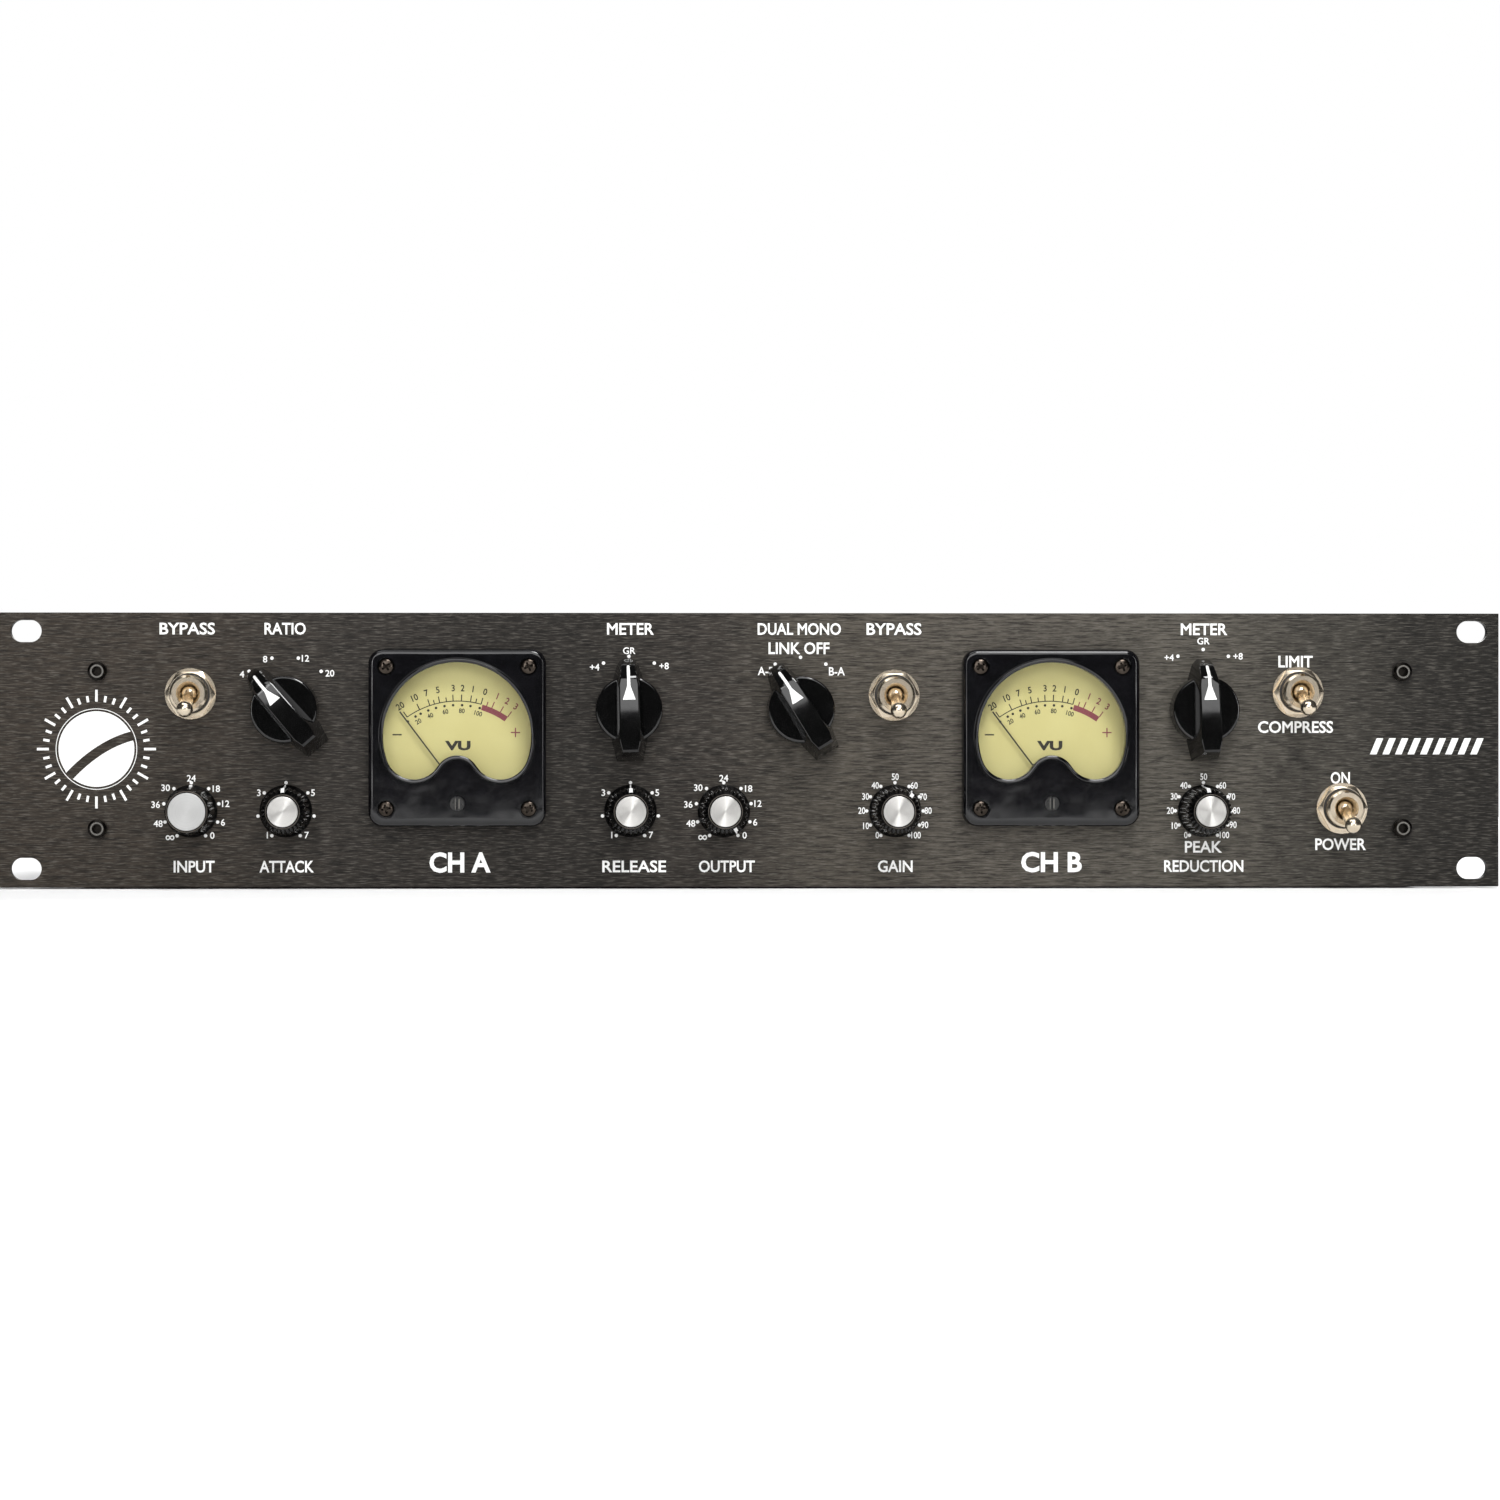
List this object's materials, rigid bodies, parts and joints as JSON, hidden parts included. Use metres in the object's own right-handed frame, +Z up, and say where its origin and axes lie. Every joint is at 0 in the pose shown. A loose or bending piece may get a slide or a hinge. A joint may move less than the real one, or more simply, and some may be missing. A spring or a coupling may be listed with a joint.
{
  "type": "rack compressor",
  "caption": "Rack-mount dual channel audio compressor with round needle meters, pointer selectors, skirted knobs and toggle switches on a brushed dark panel.",
  "frame": {"origin": "middle of the four rack slots, in the plane of the front panel's rear face, which bears on the rack rails", "axes": "+X to the right as seen from the front, +Y to the rear, +Z up"},
  "size_m": [0.4826, 0.2604, 0.0882],
  "materials": {
    "panel_anodised": "dark anodised, brushed along its width",
    "case_black": "fine textured black powder coat",
    "screw_black": "black oxide",
    "nickel": "bright nickel plate, slightly warm",
    "pot_case": "plated steel",
    "switch_case": "moulded",
    "bezel_black": "polished black moulding",
    "window_clear": "clear, glossy",
    "dial_cream": "printed card, matt cream",
    "housing_black": "moulded",
    "socket_black": "die-cast, black chromate",
    "latch_grey": "moulded",
    "inlet_black": "moulded",
    "winding": "polyester tape over the winding",
    "board_green": "solder resist",
    "screening_can": "drawn can",
    "capacitor_sleeve": "shrink sleeve",
    "pointer_black": "polished moulding",
    "knob_black": "moulded, satin gloss",
    "cap_spun": "spun face",
    "cap_satin": "satin face",
    "shaft_steel": "turned",
    "needle_black": "black lacquer"
  },
  "bodies": {
    "root": {"front_panel": "panel_anodised", "chassis_tray": "case_black", "rear_panel": "case_black", "top_cover": "case_black", "panel_screws": "screw_black", "machine_screws": "screw_black", "meter_screws": "screw_black", "panel_nuts": "nickel", "potentiometers": "pot_case", "rotary_switches": "switch_case", "toggle_switches": "nickel", "meter_bezels": "bezel_black", "meter_windows": "window_clear", "meter_dials": "dial_cream", "meter_housings": "housing_black", "xlr_sockets": "socket_black", "xlr_plugs": "socket_black", "mains_inlet": "inlet_black", "mains_transformer": "winding", "circuit_boards": "board_green", "audio_transformers": "screening_can", "smoothing_capacitors": "capacitor_sleeve", "optical_cell": "screening_can"},
    "ratio_selector": {"ratio_knob": "pointer_black", "ratio_shaft": "shaft_steel"},
    "meter_a_selector": {"meter_a_knob": "pointer_black", "meter_a_shaft": "shaft_steel"},
    "link_selector": {"link_knob": "pointer_black", "link_shaft": "shaft_steel"},
    "meter_b_selector": {"meter_b_knob": "pointer_black", "meter_b_shaft": "shaft_steel"},
    "input_control": {"input_knob": "knob_black", "input_knob_cap": "cap_satin", "input_shaft": "shaft_steel"},
    "attack_control": {"attack_knob": "knob_black", "attack_knob_cap": "cap_spun", "attack_shaft": "shaft_steel"},
    "release_control": {"release_knob": "knob_black", "release_knob_cap": "cap_spun", "release_shaft": "shaft_steel"},
    "output_control": {"output_knob": "knob_black", "output_knob_cap": "cap_spun", "output_shaft": "shaft_steel"},
    "gain_control": {"gain_knob": "knob_black", "gain_knob_cap": "cap_spun", "gain_shaft": "shaft_steel"},
    "peak_reduction_control": {"peak_reduction_knob": "knob_black", "peak_reduction_knob_cap": "cap_spun", "peak_reduction_shaft": "shaft_steel"},
    "bypass_a_toggle": {"bypass_a_lever": "nickel"},
    "bypass_b_toggle": {"bypass_b_lever": "nickel"},
    "limit_toggle": {"limit_lever": "nickel"},
    "power_toggle": {"power_lever": "nickel"},
    "needle_a": {"meter_a_needle": "needle_black"},
    "adjuster_a": {"zero_adjuster_a": "bezel_black"},
    "needle_b": {"meter_b_needle": "needle_black"},
    "adjuster_b": {"zero_adjuster_b": "bezel_black"},
    "drawer": {"fuse_drawer": "inlet_black"},
    "latch_a": {"xlr_latch_a": "latch_grey"},
    "latch_b": {"xlr_latch_b": "latch_grey"}
  },
  "joints": [
    {"name": "ratio_turn", "type": "hinge", "parent": "root", "child": "ratio_selector", "pos_m": [-0.1498, -0.003, 0.0129], "axis": [0, 1, 0], "range_deg": [0, 90]},
    {"name": "meter_a_turn", "type": "hinge", "parent": "root", "child": "meter_a_selector", "pos_m": [-0.0396, -0.003, 0.0129], "axis": [0, 1, 0], "range_deg": [-30, 30]},
    {"name": "link_turn", "type": "hinge", "parent": "root", "child": "link_selector", "pos_m": [0.0156, -0.003, 0.0129], "axis": [0, 1, 0], "range_deg": [0, 60]},
    {"name": "meter_b_turn", "type": "hinge", "parent": "root", "child": "meter_b_selector", "pos_m": [0.1455, -0.003, 0.0129], "axis": [0, 1, 0], "range_deg": [-30, 30]},
    {"name": "input_turn", "type": "hinge", "parent": "root", "child": "input_control", "pos_m": [-0.1798, -0.003, -0.0196], "axis": [0, 1, 0], "range_deg": [-150, 150]},
    {"name": "attack_turn", "type": "hinge", "parent": "root", "child": "attack_control", "pos_m": [-0.1495, -0.003, -0.0196], "axis": [0, 1, 0], "range_deg": [-149, 151]},
    {"name": "release_turn", "type": "hinge", "parent": "root", "child": "release_control", "pos_m": [-0.0391, -0.003, -0.0196], "axis": [0, 1, 0], "range_deg": [-150, 150]},
    {"name": "output_turn", "type": "hinge", "parent": "root", "child": "output_control", "pos_m": [-0.0091, -0.003, -0.0196], "axis": [0, 1, 0], "range_deg": [-300, 0]},
    {"name": "gain_turn", "type": "hinge", "parent": "root", "child": "gain_control", "pos_m": [0.046, -0.003, -0.0196], "axis": [0, 1, 0], "range_deg": [-190, 110]},
    {"name": "peak_reduction_turn", "type": "hinge", "parent": "root", "child": "peak_reduction_control", "pos_m": [0.1456, -0.003, -0.0196], "axis": [0, 1, 0], "range_deg": [-146, 154]},
    {"name": "bypass_a_flip", "type": "hinge", "parent": "root", "child": "bypass_a_toggle", "pos_m": [-0.18, -0.0077, 0.018], "axis": [-1, 0, 0], "range_deg": [0, 40]},
    {"name": "bypass_b_flip", "type": "hinge", "parent": "root", "child": "bypass_b_toggle", "pos_m": [0.0457, -0.0077, 0.0176], "axis": [-1, 0, 0], "range_deg": [0, 40]},
    {"name": "limit_flip", "type": "hinge", "parent": "root", "child": "limit_toggle", "pos_m": [0.1761, -0.0077, 0.0186], "axis": [-1, 0, 0], "range_deg": [0, 40]},
    {"name": "power_flip", "type": "hinge", "parent": "root", "child": "power_toggle", "pos_m": [0.1903, -0.0077, -0.0188], "axis": [-1, 0, 0], "range_deg": [0, 40]},
    {"name": "needle_a_swing", "type": "hinge", "parent": "root", "child": "needle_a", "pos_m": [-0.0945, -0.003, -0.0123], "axis": [0, 1, 0], "range_deg": [0, 74], "stiffness_Nm_per_rad": 0.0004, "springref_deg": -22.92},
    {"name": "zero_adjust_a", "type": "hinge", "parent": "root", "child": "adjuster_a", "pos_m": [-0.0945, -0.003, -0.0172], "axis": [0, 1, 0], "range_deg": [-60, 60]},
    {"name": "needle_b_swing", "type": "hinge", "parent": "root", "child": "needle_b", "pos_m": [0.0958, -0.003, -0.0123], "axis": [0, 1, 0], "range_deg": [0, 74], "stiffness_Nm_per_rad": 0.0004, "springref_deg": -22.92},
    {"name": "zero_adjust_b", "type": "hinge", "parent": "root", "child": "adjuster_b", "pos_m": [0.0958, -0.003, -0.0172], "axis": [0, 1, 0], "range_deg": [-60, 60]},
    {"name": "fuse_drawer_slide", "type": "slide", "parent": "root", "child": "drawer", "axis": [0, 1, 0], "range_m": [0, 0.02]},
    {"name": "xlr_latch_a_press", "type": "slide", "parent": "root", "child": "latch_a", "axis": [0, -1, 0], "range_m": [0, 0.0014], "stiffness_N_per_m": 400, "springref_m": -0.0005},
    {"name": "xlr_latch_b_press", "type": "slide", "parent": "root", "child": "latch_b", "axis": [0, -1, 0], "range_m": [0, 0.0014], "stiffness_N_per_m": 400, "springref_m": -0.0005}
  ]
}
